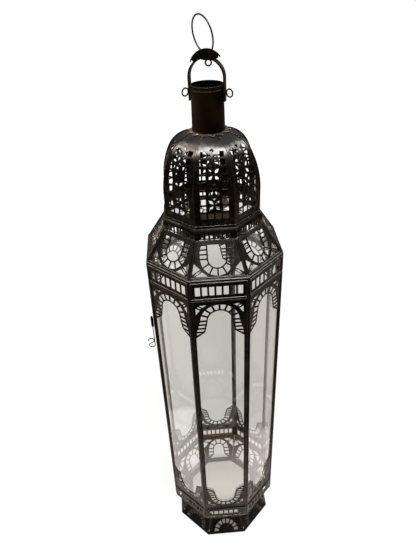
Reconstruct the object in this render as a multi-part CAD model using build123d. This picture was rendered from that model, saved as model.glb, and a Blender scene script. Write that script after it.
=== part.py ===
from build123d import *
import os
from math import cos, degrees, hypot, pi, radians, sin, tan

# Floor-standing eight-sided lantern of pierced sheet iron and clear glass.
# Millimetres, +Z up. The origin is the centre of the foot on the floor.
# Facet 0 looks along -Y and the facets count anticlockwise seen from above.

# Body: sides, sheet and glass
FACETS = 8
ACROSS_FLATS = 220.0
SHEET = 0.8
GLASS = 2.0
BEAD_RADIUS = 1.4
SEAT_GAP = 0.3
TACK_GAP = 0.1
FRAME_GAP = 0.6

# Heights of the stacked courses
HEM_THICKNESS = 1.2
SKIRT_HEIGHT = 27.0
TAPER_HEIGHT = 57.0
LOWER_BAND_HEIGHT = 31.0
SIDE_HEIGHT = 577.0
UPPER_BAND_HEIGHT = 33.0
SHOULDER_HEIGHT = 54.0
COLLAR_HEIGHT = 17.5

# Foot: waist, skirt and floor plate, as half widths across the flats
WAIST_REACH = 82.0
SKIRT_REACH = 103.5
HEM_WIDTH = 6.0
LEDGE_WIDTH = 11.0
LEDGE_THICKNESS = 1.0
FLOOR_GLASS = 3.0
FLOOR_EDGE_GAP = 1.2

# Corner angles behind the side sheets
POST_THICKNESS = 1.2
POST_FLANGE = 6.0

# Pierced friezes
FRIEZE_SLOTS = 7
FRIEZE_SLOT_WIDTH = 7.8
FRIEZE_SLOT_HEIGHT = 16.0
FRIEZE_SLOT_PITCH = 11.0

# Arched frets of the side frames
FRET_FIELD_HALF = 40.0
FRET_TOP_BORDER = 9.2
FRET_BOTTOM_BORDER = 15.2
ARCH_RADIUS = 19.5
ARCH_RIM = 2.4
ARCH_CELL_DEPTH = 9.5
ARCH_CELLS = 8
LEG_CELLS = 3
LEG_DROP = 22.5
CUSP_HALF = 24.0
CUSP_DROP = 12.5
FRET_BAR = 3.2
FINE_BAR = 2.4
LEG_SPREAD = 6.4

# Shoulder panels under the collar
SHOULDER_TOP_REACH = 77.0
SHOULDER_ARCH_RADIUS = 13.5
SHOULDER_ARCH_RISE = 30.0
SHOULDER_CELL_DEPTH = 10.0
SHOULDER_ARCH_CELLS = 6
SHOULDER_LEG_LENGTH = 21.0
SHOULDER_BORDER = 4.5
EAVE_RADIUS = 2.2

# Base panels above the waist
BASE_ARCH_RADIUS = 12.4
BASE_ARCH_RISE = 28.5
BASE_CELL_DEPTH = 10.5
BASE_ARCH_CELLS = 5
BASE_LEG_CELLS = 2
BASE_LEG_DROP = 18.0
BASE_CUSP_HALF = 14.5
BASE_LEG_SPREAD = 1.5
BASE_FOOT_HALF = 25.0
BASE_FOOT_RISE = 1.8
BASE_BORDER = 5.0

# Skirt piercing
SKIRT_ARCH_RADIUS = 18.5
SKIRT_CELL_DEPTH = 9.0
SKIRT_ARCH_CELLS = 8
SKIRT_ARCH_RISE = 4.0

# Collar
COLLAR_REACH = 75.6
COLLAR_BULGE = 3.0
COLLAR_LIP = 4.0
COLLAR_SHEET = 1.0
COLLAR_SLOTS = 7
COLLAR_SLOT_WIDTH = 3.8
COLLAR_SLOT_HEIGHT = 8.5
COLLAR_SLOT_PITCH = 6.6
COLLAR_SLOT_RISE = 2.6

# Dome of gores
DOME_REACH = 72.4
DOME_WALL = 41.0
DOME_SIDE_RADIUS = 130.0
DOME_SIDE_SWEEP = 25.0
DOME_CAP_SWEEP = 80.0
RIB_HALF = 0.9
RIB_PROUD = 0.9
DOME_SQUARE = 8.4
DOME_COLUMN_SHARE = 0.55
DOME_ROW_RISE = 19.5
DOME_ROW_PITCH = 11.2
DOME_ROWS = 9
DOME_STARS = 4
DOME_STAR_ROW = 1.5
LEAF_LENGTH = 9.6
LEAF_WIDTH = 4.6
LEAF_OFFSET = 4.8

# Neck tube
NECK_FOOT_RADIUS = 24.3
NECK_MOUTH_RADIUS = 23.2
NECK_WALL = 0.9
NECK_HEIGHT = 64.0
NECK_SINK = 4.0
NECK_BEAD_RADIUS = 0.9
NECK_BEAD_STEP = 5.4
FLANGE_POINTS = 13
FLANGE_TIP = 8.2
FLANGE_ROOT = 1.4
FLANGE_SLOPE = 7.0

# Bail, its split pins and the rosette
PIN_DROP = 11.0
PIN_RADIUS = 1.3
RUNNING_CLEARANCE = 0.06
PIN_EYE_RADIUS = 5.3
PIN_EYE_WIRE = 1.05
RIGHT_EYE_TURN = 25.0
LEFT_EYE_TURN = 54.0
PIN_TAIL = 9.0
BAIL_TURN = -20.0
BAIL_INNER_HALF = 24.3
BAIL_THICKNESS = 2.3
BAIL_WIDTH = 9.0
BAIL_LEG_ABOVE = 19.4
BAIL_LEG_BELOW = 11.6
ROSETTE_SPHERE = 24.0
ROSETTE_SHEET = 1.0
ROSETTE_PETALS = 8
PETAL_CENTRE = 11.5
PETAL_RADIUS = 9.5
ROSETTE_TILT = 6.0
ROSETTE_NOD = 9.0
ROSETTE_RISE = 9.8
RING_HOLE = 3.5

# Swivel eye and hanging ring
UPPER_EYE_WIRE = 0.8
LOWER_EYE_WIRE = 1.1
LOWER_EYE_RADIUS = 4.0
LOWER_EYE_SHIFT = 3.0
UPPER_EYE_RADIUS = 3.0
SWIVEL_RADIUS = 1.3
RING_RADIUS = 24.1
RING_WIRE = 1.1
RING_TURN = -60.7
RING_TILT = 10.0

# Door hinge and turn latch
HINGE_STAND_OFF = 2.44
HINGE_ROD_RADIUS = 1.2
KNUCKLE_RADIUS = 2.1
KNUCKLE_LENGTH = 32.5
KNUCKLE_SHARE = 0.505
KNUCKLE_GAP = 0.35
HINGE_STRIP = 1.3
LATCH_SHARE = 0.8466
LATCH_WIRE = 0.8
STAPLE_RADIUS = 2.3
STAPLE_LENGTH = 9.0
STAPLE_STEP = 9.8
LATCH_STEM = 52.5
LATCH_CURL_RADIUS = 5.0
LATCH_CURL_TURN = 85.0
LATCH_KNOB = 1.7

# Glass clips
CLIP_WIDTH = 8.0
CLIP_OFFSET = 25.0
CLIP_THICKNESS = 0.8
CLIP_LIP = 4.0
PANE_BORDER = 5.0

# Levels worked out from the courses
HALF_ANGLE = pi / FACETS
DOOR_FACET = FACETS - 1
REACH = ACROSS_FLATS / 2
WAIST_Z = SKIRT_HEIGHT
BODY_Z = WAIST_Z + TAPER_HEIGHT
SIDE_Z = BODY_Z + LOWER_BAND_HEIGHT
UPPER_BAND_Z = SIDE_Z + SIDE_HEIGHT
EAVE_Z = UPPER_BAND_Z + UPPER_BAND_HEIGHT
COLLAR_Z = EAVE_Z + SHOULDER_HEIGHT
DOME_Z = COLLAR_Z + COLLAR_HEIGHT
POST_FACE = REACH - SHEET - SEAT_GAP
PANE_FACE = POST_FACE - POST_THICKNESS - TACK_GAP


def half_width(reach):
    """Half of one facet's width at this distance from the axis."""
    return reach * tan(HALF_ANGLE)


def facet_plane(reach, z):
    """Plane on facet 0: x to the right seen from outside, y up, z outwards."""
    return Plane(origin=(0, -reach, z), x_dir=(1, 0, 0), z_dir=(0, -1, 0))


def turned(shape, facet):
    """A copy of a facet 0 piece on another facet."""
    return Rot(0, 0, 360 / FACETS * facet) * shape


def all_round(shape):
    """The piece repeated on every facet."""
    return [turned(shape, facet) for facet in range(FACETS)]


def sector(gap):
    """The wedge of space that belongs to facet 0, held back from its corner planes."""
    far = REACH * 2
    apex = gap / sin(HALF_ANGLE)
    spread = (far - apex) * tan(HALF_ANGLE)
    base = make_face(Polyline((0, -apex), (spread, -far), (-spread, -far), close=True))
    return extrude(base, amount=DOME_Z * 2)


def polygon(points):
    """A flat face with straight sides."""
    return make_face(Polyline(*points, close=True))


def mirrored(points):
    """The same points on the other side of the facet's middle line."""
    return [(-x, y) for x, y in points]


def arch_cells(rise, inner, outer, count, start, end, bar):
    """Outlines of the wedge-shaped openings around an arch, between two angles in degrees."""
    step = radians(end - start) / count
    cells = []
    for index in range(count):
        low = radians(start) + index * step
        high = low + step
        corners = []
        for radius, angle, side in ((inner, low, 1), (outer, low, 1), (outer, high, -1), (inner, high, -1)):
            turn = angle + side * bar / 2 / radius
            corners.append((radius * cos(turn), rise + radius * sin(turn)))
        cells.append(corners)
    return cells


def leg_cells(top, bottom, inner, outer, spread_inner, spread_outer, count, bar):
    """Outlines of the openings down one leg of an arch, which leans outwards."""
    cells = []
    for index in range(count):
        corners = []
        for share, side in ((index / count, -1), ((index + 1) / count, 1)):
            y = top + (bottom - top) * share + side * bar / 2
            low = (inner + spread_inner * share, y)
            high = (outer + spread_outer * share, y)
            corners.append((low, high))
        cells.append([corners[0][0], corners[0][1], corners[1][1], corners[1][0]])
    return cells


def spandrel_cells(corner, rise, outer, bar):
    """Three openings in the corner beside an arch: a leaf on the diagonal and a petal each side."""
    x, y = corner
    length = hypot(x, y - rise)
    along = (-x / length, (rise - y) / length)
    across = (-along[1], along[0])
    room = length - outer
    leaf_end = room - bar
    leaf_middle = (bar + leaf_end) / 2

    def at(distance, offset):
        return (x + along[0] * distance + across[0] * offset, y + along[1] * distance + across[1] * offset)

    leaf = [at(bar, 0), at(leaf_middle, LEAF_WIDTH / 3), at(leaf_end, 0), at(leaf_middle, -LEAF_WIDTH / 3)]
    inward = -1 if y > rise else 1
    petal_depth = outer + bar
    top_end = x - room * 1.25
    side_end = y + inward * room * 1.25
    tip = at(leaf_end, bar)
    if abs(tip[0]) > abs(at(leaf_end, -bar)[0]):
        side_tip = tip
        top_tip = at(leaf_end, -bar)
    else:
        side_tip = at(leaf_end, -bar)
        top_tip = tip
    reach_top = max(top_end, 0.2 * petal_depth)
    top_petal = [(x - bar * 1.6, y), (reach_top, y), top_tip]
    side_petal = [(x, y + inward * bar * 1.6), (x, side_end), side_tip]
    return [leaf, top_petal, side_petal]


def both_sides(cells):
    """Cells of the right half and their mirror images."""
    return cells + [mirrored(cell) for cell in cells]


def bead(plane, start, end):
    """A half-round bead along a straight line on the outer face of a sheet."""
    first = plane.from_local_coords(Vector(*start, 0))
    last = plane.from_local_coords(Vector(*end, 0))
    along = (last - first).normalized()
    section = Plane(origin=first, x_dir=plane.z_dir.cross(along), z_dir=along)
    arc = CenterArc((0, 0), BEAD_RADIUS, 0, 180)
    root = SHEET / 2
    sides = Polyline((-BEAD_RADIUS, 0), (-BEAD_RADIUS, -root), (BEAD_RADIUS, -root), (BEAD_RADIUS, 0))
    return extrude(section * make_face(arc + sides), amount=(last - first).length)


def pierced_sheet(plane, outline, openings, thickness):
    """A cut sheet whose outer face lies on the plane."""
    face = polygon(outline) - [polygon(cell) for cell in openings]
    return extrude(plane * face, amount=-thickness)


def beaded_sheet(plane, outline, openings, edges):
    """A pierced sheet with half-round beads along some of its edges."""
    sheet = pierced_sheet(plane, outline, openings, SHEET)
    return sheet + [bead(plane, start, end) for start, end in edges]


def inset_edges(outline, inset):
    """The edges of a four-sided outline moved inwards, as lines for beads."""
    (x0, y0), (x1, y1), (x2, y2), (x3, y3) = outline
    lean = (x2 - x1) / (y2 - y1)
    shift = inset * hypot(1, lean)
    low = y0 + inset
    high = y2 - inset
    right_low = x1 + lean * inset - shift
    right_high = x2 - lean * inset - shift
    corners = [(-right_low, low), (right_low, low), (right_high, high), (-right_high, high)]
    return [(corners[i], corners[(i + 1) % len(corners)]) for i in range(len(corners))]


class Slope:
    """A flat sloping panel of facet 0 between a lower and an upper edge, given as (reach, z)."""

    def __init__(self, low, high):
        self.length = hypot(high[0] - low[0], high[1] - low[1])
        self.low_reach = low[0]
        self.climb = (high[0] - low[0]) / self.length
        self.rise = (high[1] - low[1]) / self.length
        self.plane = Plane(origin=(0, -low[0], low[1]), x_dir=(1, 0, 0), z_dir=(0, -self.rise, -self.climb))

    def half(self, along, depth, gap):
        """Half width of the panel at a distance along the slope and a depth below its outer face."""
        inner_reach = self.low_reach + self.climb * along - self.rise * depth
        return half_width(min(inner_reach, inner_reach + self.rise * depth)) - gap

    def outline(self, low, high, depth, gap):
        """Corners of the panel between two distances along the slope."""
        low_half = self.half(low, depth, gap)
        high_half = self.half(high, depth, gap)
        return [(-low_half, low), (low_half, low), (high_half, high), (-high_half, high)]


def mitred_bars(section):
    """A ring of eight bars with this section, given as a face in (-reach, z), mitred at the corners."""
    bar = extrude(Plane.YZ * section, amount=REACH, both=True)
    return all_round(bar & sector(TACK_GAP / 2))


def save(name, solids):
    """Write one node, a single solid or a group of separate solids."""
    group = solids if isinstance(solids, list) else [solids]
    bodies = [solid for shape in group for solid in shape.solids()]
    export_step(Compound(children=bodies), f"parts/{name}.step")


# Foot
def make_hem():
    """Flat strip around the bottom edge that the lantern stands on."""
    outer = SKIRT_REACH
    inner = SKIRT_REACH - HEM_WIDTH
    top = HEM_THICKNESS
    return mitred_bars(polygon([(-outer, 0), (-inner, 0), (-inner, top), (-outer, top)]))


def make_skirt():
    """Eight flared panels from the hem up to the waist, with an arch of openings in each."""
    low = (SKIRT_REACH, HEM_THICKNESS + TACK_GAP)
    high = (WAIST_REACH, WAIST_Z - LEDGE_THICKNESS - TACK_GAP)
    slope = Slope(low, high)
    inner = SKIRT_ARCH_RADIUS
    outer = SKIRT_ARCH_RADIUS + SKIRT_CELL_DEPTH
    cells = arch_cells(SKIRT_ARCH_RISE, inner, outer, SKIRT_ARCH_CELLS, 0, 180, FRET_BAR)
    outline = slope.outline(0, slope.length, SHEET, SEAT_GAP)
    edges = inset_edges(outline, BEAD_RADIUS + SEAT_GAP)
    panel = beaded_sheet(slope.plane, outline, cells, [edges[1], edges[3]])
    return all_round(panel & above(HEM_THICKNESS + TACK_GAP))


def above(level):
    """Everything over a level."""
    size = REACH * 4
    return Pos(0, 0, level + size / 2) * Box(size, size, size)


def below(level):
    """Everything under a level."""
    size = REACH * 4
    return Pos(0, 0, level - size / 2) * Box(size, size, size)


def make_ledge():
    """Flat ring at the waist that carries the floor glass."""
    outer = WAIST_REACH
    inner = WAIST_REACH - LEDGE_WIDTH
    low = WAIST_Z - LEDGE_THICKNESS
    return mitred_bars(polygon([(-outer, low), (-inner, low), (-inner, WAIST_Z), (-outer, WAIST_Z)]))


def make_base_panels():
    """Eight pierced panels that widen from the waist up to the body."""
    slope = Slope((WAIST_REACH, WAIST_Z), (REACH - SHEET, BODY_Z - TACK_GAP))
    inner = BASE_ARCH_RADIUS + ARCH_RIM
    outer = inner + BASE_CELL_DEPTH
    cusp = BASE_ARCH_RISE - BASE_LEG_DROP
    lean = BASE_CUSP_HALF - BASE_ARCH_RADIUS
    crown = BASE_ARCH_RISE + outer + ARCH_RIM
    opening = arch_opening(BASE_ARCH_RISE, BASE_ARCH_RADIUS, BASE_CUSP_HALF, cusp,
                           BASE_FOOT_HALF, BASE_FOOT_RISE)
    legs = leg_cells(BASE_ARCH_RISE, cusp, inner, outer, lean, BASE_LEG_SPREAD, BASE_LEG_CELLS, FINE_BAR)
    foot = [(BASE_CUSP_HALF + FINE_BAR, cusp - FINE_BAR / 2), (outer + BASE_LEG_SPREAD, cusp - FINE_BAR / 2),
            (outer + BASE_LEG_SPREAD, BASE_FOOT_RISE + FINE_BAR * 2)]
    corner = (slope.half(crown, SHEET, SEAT_GAP) - BASE_BORDER, crown - ARCH_RIM)
    spandrels = spandrel_cells(corner, BASE_ARCH_RISE, outer + FINE_BAR, FINE_BAR)
    cells = arch_cells(BASE_ARCH_RISE, inner, outer, BASE_ARCH_CELLS, 0, 180, FINE_BAR)
    cells = cells + both_sides(legs + [foot] + spandrels)
    outline = slope.outline(0, slope.length, SHEET, SEAT_GAP)
    face = polygon(outline) - [polygon(cell) for cell in cells] - opening
    panel = extrude(slope.plane * face, amount=-SHEET)
    return all_round(panel & above(WAIST_Z + TACK_GAP) & below(BODY_Z - TACK_GAP))


def arch_opening(rise, radius, cusp_half, cusp, foot_half, foot):
    """The clear opening of an arch: round head, leaning legs, and a flare below the cusps."""
    head = CenterArc((0, rise), radius, 0, 180)
    sides = Polyline((-radius, rise), (-cusp_half, cusp), (-foot_half, foot), (foot_half, foot),
                     (cusp_half, cusp), (radius, rise))
    return make_face(head + sides)


def make_floor_pane():
    """Eight-sided clear glass plate that lies on the ledge."""
    reach = WAIST_REACH - SHEET - FLOOR_EDGE_GAP
    plate = Plane.XY.offset(WAIST_Z + TACK_GAP) * RegularPolygon(reach, FACETS, major_radius=False)
    return Rot(0, 0, degrees(HALF_ANGLE)) * extrude(plate, amount=FLOOR_GLASS)


# Body
def make_post():
    """Folded corner angle at the right edge of facet 0, behind the sheets."""
    outer_half = half_width(POST_FACE)
    inner_half = half_width(POST_FACE - POST_THICKNESS)
    end = outer_half - POST_FLANGE
    flange = polygon([(end, POST_FACE), (outer_half, POST_FACE), (inner_half, POST_FACE - POST_THICKNESS),
                      (end, POST_FACE - POST_THICKNESS)])
    upright = Plane(origin=(0, 0, BODY_Z), x_dir=(1, 0, 0), z_dir=(0, 0, 1))
    near = extrude(upright * mirror(flange, Plane.XZ), amount=EAVE_Z - BODY_Z)
    corner = Plane(origin=(0, 0, 0), x_dir=(0, 0, 1), z_dir=(cos(HALF_ANGLE), sin(HALF_ANGLE), 0))
    return near + mirror(near, corner)


def sheet_half():
    """Half width of the flat sheets on the body's sides."""
    return half_width(REACH - SHEET) - SEAT_GAP


def make_band(low, height):
    """Frieze of upright slots around the body, one beaded plate on each side."""
    plane = facet_plane(REACH, low)
    half = sheet_half()
    outline = [(-half, 0), (half, 0), (half, height), (-half, height)]
    middle = height / 2
    slots = []
    for index in range(FRIEZE_SLOTS):
        x = (index - (FRIEZE_SLOTS - 1) / 2) * FRIEZE_SLOT_PITCH
        left = x - FRIEZE_SLOT_WIDTH / 2
        right = x + FRIEZE_SLOT_WIDTH / 2
        low_y = middle - FRIEZE_SLOT_HEIGHT / 2
        high_y = middle + FRIEZE_SLOT_HEIGHT / 2
        slots.append([(left, low_y), (right, low_y), (right, high_y), (left, high_y)])
    edges = inset_edges(outline, BEAD_RADIUS + SEAT_GAP)
    return beaded_sheet(plane, outline, slots, edges)


def side_fret(border):
    """Cells and clear opening of one arched fret, measured down from the frame's top edge."""
    inner = ARCH_RADIUS + ARCH_RIM
    outer = inner + ARCH_CELL_DEPTH
    rise = -border - outer
    cusp = rise - LEG_DROP
    foot = cusp - CUSP_DROP
    lean = CUSP_HALF - ARCH_RADIUS
    legs = leg_cells(rise, cusp, inner, outer, lean, LEG_SPREAD, LEG_CELLS, FRET_BAR)
    low_edge = cusp - FRET_BAR / 2
    tail = [(CUSP_HALF + FRET_BAR * 1.5, low_edge), (outer + LEG_SPREAD, low_edge),
            (outer + LEG_SPREAD, foot + FRET_BAR * 2)]
    corner = (FRET_FIELD_HALF - ARCH_RIM, -border)
    spandrels = spandrel_cells(corner, rise, outer + FRET_BAR, FRET_BAR)
    cells = arch_cells(rise, inner, outer, ARCH_CELLS, 0, 180, FRET_BAR)
    return cells + both_sides(legs + [tail] + spandrels), rise, cusp, foot


def make_side_frame():
    """Side frame cut from one sheet: an arched fret above, its mirror image below, clear between."""
    low = FRAME_GAP
    high = SIDE_HEIGHT - FRAME_GAP
    half = sheet_half()
    outline = [(-half, low), (half, low), (half, high), (-half, high)]
    top_cells, top_rise, top_cusp, top_foot = side_fret(FRET_TOP_BORDER)
    low_cells, low_rise, low_cusp, low_foot = side_fret(FRET_BOTTOM_BORDER)
    cells = [[(x, high + y) for x, y in cell] for cell in top_cells]
    cells = cells + [[(x, low - y) for x, y in cell] for cell in low_cells]
    top_head = CenterArc((0, high + top_rise), ARCH_RADIUS, 0, 180)
    low_head = CenterArc((0, low - low_rise), ARCH_RADIUS, 180, 180)
    left = Polyline((-ARCH_RADIUS, high + top_rise), (-CUSP_HALF, high + top_cusp),
                    (-FRET_FIELD_HALF, high + top_foot), (-FRET_FIELD_HALF, low - low_foot),
                    (-CUSP_HALF, low - low_cusp), (-ARCH_RADIUS, low - low_rise))
    right = Polyline((ARCH_RADIUS, low - low_rise), (CUSP_HALF, low - low_cusp),
                     (FRET_FIELD_HALF, low - low_foot), (FRET_FIELD_HALF, high + top_foot),
                     (CUSP_HALF, high + top_cusp), (ARCH_RADIUS, high + top_rise))
    clear = make_face(top_head + left + low_head + right)
    plane = facet_plane(REACH, SIDE_Z)
    face = polygon(outline) - clear - [polygon(cell) for cell in cells]
    sheet = extrude(plane * face, amount=-SHEET)
    edges = inset_edges(outline, BEAD_RADIUS + SEAT_GAP)
    return sheet + [bead(plane, start, end) for start, end in edges]


def make_pane(face, half):
    """Flat clear pane behind a side frame, with its outer side at this distance from the axis."""
    low = SIDE_Z + PANE_BORDER
    height = SIDE_HEIGHT - 2 * PANE_BORDER
    plane = facet_plane(face, low)
    return extrude(plane * polygon([(-half, 0), (half, 0), (half, height), (-half, height)]), amount=-GLASS)


def make_clips(face):
    """Four bent tabs that hold a pane against its frame."""
    back = face - GLASS - TACK_GAP
    front = REACH - SHEET - TACK_GAP
    low = SIDE_Z + PANE_BORDER - TACK_GAP
    high = SIDE_Z + SIDE_HEIGHT - PANE_BORDER + TACK_GAP
    clips = []
    for edge, way in ((low, 1), (high, -1)):
        outline = [(-front, edge), (-front, edge - way * CLIP_THICKNESS),
                   (-back + CLIP_THICKNESS, edge - way * CLIP_THICKNESS),
                   (-back + CLIP_THICKNESS, edge + way * CLIP_LIP),
                   (-back, edge + way * CLIP_LIP), (-back, edge)]
        clip = extrude(Plane.YZ * polygon(outline), amount=CLIP_WIDTH / 2, both=True)
        for side in (-1, 1):
            clips.append(Pos(side * CLIP_OFFSET, 0, 0) * clip)
    return clips


# Door
HINGE_REACH = (REACH / cos(HALF_ANGLE) + HINGE_STAND_OFF)
HINGE_X = HINGE_REACH * sin(HALF_ANGLE)
HINGE_Y = -HINGE_REACH * cos(HALF_ANGLE)
KNUCKLE_LOW = SIDE_Z + SIDE_HEIGHT * KNUCKLE_SHARE - KNUCKLE_LENGTH
KNUCKLE_HIGH = SIDE_Z + SIDE_HEIGHT * KNUCKLE_SHARE + KNUCKLE_LENGTH
ROD_BORE = HINGE_ROD_RADIUS + RUNNING_CLEARANCE
BEAD_X = sheet_half() - BEAD_RADIUS - SEAT_GAP


def hinge_tube(low, high):
    """Rolled tube on the hinge line, with the strip that joins it to the sheet of facet 0."""
    base = sheet_half()
    foot = -REACH + SHEET / 2
    strip = polygon([(base - HINGE_STRIP, foot), (base, foot), (HINGE_X + KNUCKLE_RADIUS / 3, HINGE_Y + SHEET),
                     (HINGE_X - KNUCKLE_RADIUS / 2, HINGE_Y - SHEET)])
    section = strip + Pos(HINGE_X, HINGE_Y) * Circle(KNUCKLE_RADIUS)
    return Pos(0, 0, low) * extrude(section, amount=high - low)


def hinge_bore():
    """The hole for the hinge rod, over the whole side."""
    return Pos(HINGE_X, HINGE_Y, SIDE_Z + SIDE_HEIGHT / 2) * Cylinder(ROD_BORE, SIDE_HEIGHT)


def make_door_frame(frame):
    """Side frame with a rolled hinge edge above and below the fixed knuckles."""
    low = SIDE_Z + FRAME_GAP
    high = SIDE_Z + SIDE_HEIGHT - FRAME_GAP
    leaf = frame + hinge_tube(low, KNUCKLE_LOW - KNUCKLE_GAP) + hinge_tube(KNUCKLE_HIGH + KNUCKLE_GAP, high)
    return leaf - hinge_bore()


def make_knuckles():
    """Two fixed tubes in the middle of the hinge line, tacked to the next side's edge."""
    middle = (KNUCKLE_LOW + KNUCKLE_HIGH) / 2
    pair = [hinge_tube(KNUCKLE_LOW, middle - KNUCKLE_GAP / 2),
            hinge_tube(middle + KNUCKLE_GAP / 2, KNUCKLE_HIGH)]
    corner = Plane(origin=(0, 0, 0), x_dir=(0, 0, 1), z_dir=(cos(HALF_ANGLE), sin(HALF_ANGLE), 0))
    clear_of_sheet = facet_plane(REACH + TACK_GAP, SIDE_Z)
    outside = extrude(clear_of_sheet * Rectangle(REACH * 2, SIDE_HEIGHT * 2), amount=REACH)
    edge_bead = Pos(BEAD_X, -REACH, SIDE_Z + SIDE_HEIGHT / 2) * Cylinder(BEAD_RADIUS + TACK_GAP, SIDE_HEIGHT)
    return [mirror((tube & outside) - hinge_bore() - edge_bead, corner) for tube in pair]


def make_hinge_rod():
    """Long wire that the door turns on."""
    length = SIDE_HEIGHT - 2 * FRAME_GAP
    return Pos(HINGE_X, HINGE_Y, SIDE_Z + SIDE_HEIGHT / 2) * Cylinder(HINGE_ROD_RADIUS, length)


# Latch, on the edge of the side to the left of the door
LATCH_X = BEAD_X
LATCH_Y = -(REACH + BEAD_RADIUS + SEAT_GAP + STAPLE_RADIUS)
LATCH_Z = SIDE_Z + SIDE_HEIGHT * LATCH_SHARE


def make_staples():
    """Two short tubes, one over the other, that hold the latch wire."""
    ring = Circle(STAPLE_RADIUS) - Circle(LATCH_WIRE + RUNNING_CLEARANCE)
    tube = extrude(ring, amount=STAPLE_LENGTH / 2, both=True)
    return [Pos(LATCH_X, LATCH_Y, LATCH_Z + side * STAPLE_STEP / 2) * tube for side in (-1, 1)]


def make_latch():
    """Wire that turns in the staples, with a knob above them and an S-shaped pull below."""
    top = LATCH_Z + STAPLE_STEP / 2 + STAPLE_LENGTH / 2 + SEAT_GAP
    low = LATCH_Z - LATCH_STEM
    radius = LATCH_CURL_RADIUS
    turn = radians(LATCH_CURL_TURN)
    first = (radius, low)
    second = (radius + 2 * radius * cos(turn), low + 2 * radius * sin(turn))
    meet = (radius + radius * cos(turn), low + radius * sin(turn))
    stem = Line((0, top), (0, low))
    lower = ThreePointArc((0, low), (radius, low - radius), (2 * radius, low))
    halfway = (first[0] + radius * cos(turn / 2), first[1] + radius * sin(turn / 2))
    rise = ThreePointArc((2 * radius, low), halfway, meet)
    upper = ThreePointArc(meet, (second[0] - radius, second[1]), (second[0], second[1] + radius))
    tail = ThreePointArc((second[0], second[1] + radius), (second[0] + radius * sin(pi / 4), second[1]
                         + radius * cos(pi / 4)), (second[0] + radius, second[1]))
    frame = Plane(origin=(LATCH_X, LATCH_Y, 0), x_dir=(0, -1, 0), z_dir=(-1, 0, 0))
    path = Wire([(frame * edge).edge() for edge in (stem, lower, rise, upper, tail)])
    start = Plane(origin=frame.from_local_coords(Vector(0, top, 0)), x_dir=(1, 0, 0), z_dir=(0, 0, -1))
    wire = sweep(start * Circle(LATCH_WIRE), path=path)
    return wire + Pos(LATCH_X, LATCH_Y, top + LATCH_KNOB) * Sphere(LATCH_KNOB + SEAT_GAP / 2)


# Shoulder
def shoulder_slope():
    """The plane of a shoulder panel, from the eave bar up to the collar."""
    low = (REACH - EAVE_RADIUS, EAVE_Z + 2 * EAVE_RADIUS + SEAT_GAP)
    return Slope(low, (SHOULDER_TOP_REACH, COLLAR_Z - TACK_GAP))


def make_eave():
    """Round bar around the body under the shoulder."""
    centre = (-(REACH - BEAD_RADIUS), EAVE_Z + EAVE_RADIUS + TACK_GAP)
    return mitred_bars(Pos(*centre) * Circle(EAVE_RADIUS))


def make_shoulder_panels():
    """Eight sloping panels, each with a round-ended opening ringed by cells."""
    slope = shoulder_slope()
    inner = SHOULDER_ARCH_RADIUS + ARCH_RIM
    outer = inner + SHOULDER_CELL_DEPTH
    top = SHOULDER_ARCH_RISE + SHOULDER_LEG_LENGTH
    cells = arch_cells(SHOULDER_ARCH_RISE, inner, outer, SHOULDER_ARCH_CELLS, 180, 360, FINE_BAR)
    legs = leg_cells(top, SHOULDER_ARCH_RISE, inner, outer, 0, 0, LEG_CELLS, FINE_BAR)
    low = SHOULDER_ARCH_RISE - outer
    corner = (slope.half(low, SHEET, SEAT_GAP) - SHOULDER_BORDER, low)
    spandrels = spandrel_cells(corner, SHOULDER_ARCH_RISE, outer + FINE_BAR, FINE_BAR)
    cells = cells + both_sides(legs + spandrels)
    head = CenterArc((0, SHOULDER_ARCH_RISE), SHOULDER_ARCH_RADIUS, 180, 180)
    sides = Polyline((SHOULDER_ARCH_RADIUS, SHOULDER_ARCH_RISE), (SHOULDER_ARCH_RADIUS, top),
                     (-SHOULDER_ARCH_RADIUS, top), (-SHOULDER_ARCH_RADIUS, SHOULDER_ARCH_RISE))
    outline = slope.outline(0, slope.length, SHEET, SEAT_GAP)
    face = polygon(outline) - make_face(head + sides) - [polygon(cell) for cell in cells]
    sheet = extrude(slope.plane * face, amount=-SHEET)
    edges = inset_edges(outline, BEAD_RADIUS + SEAT_GAP)
    panel = sheet + [bead(slope.plane, *edges[index]) for index in (0, 1, 3)]
    return all_round(panel & below(COLLAR_Z - TACK_GAP))


def make_shoulder_panes():
    """Eight clear panes behind the shoulder panels."""
    slope = shoulder_slope()
    depth = SHEET + TACK_GAP
    outline = slope.outline(FINE_BAR, slope.length - FINE_BAR, depth + GLASS, SEAT_GAP)
    face = slope.plane.offset(-depth) * polygon(outline)
    return all_round(extrude(face, amount=-GLASS))


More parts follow.
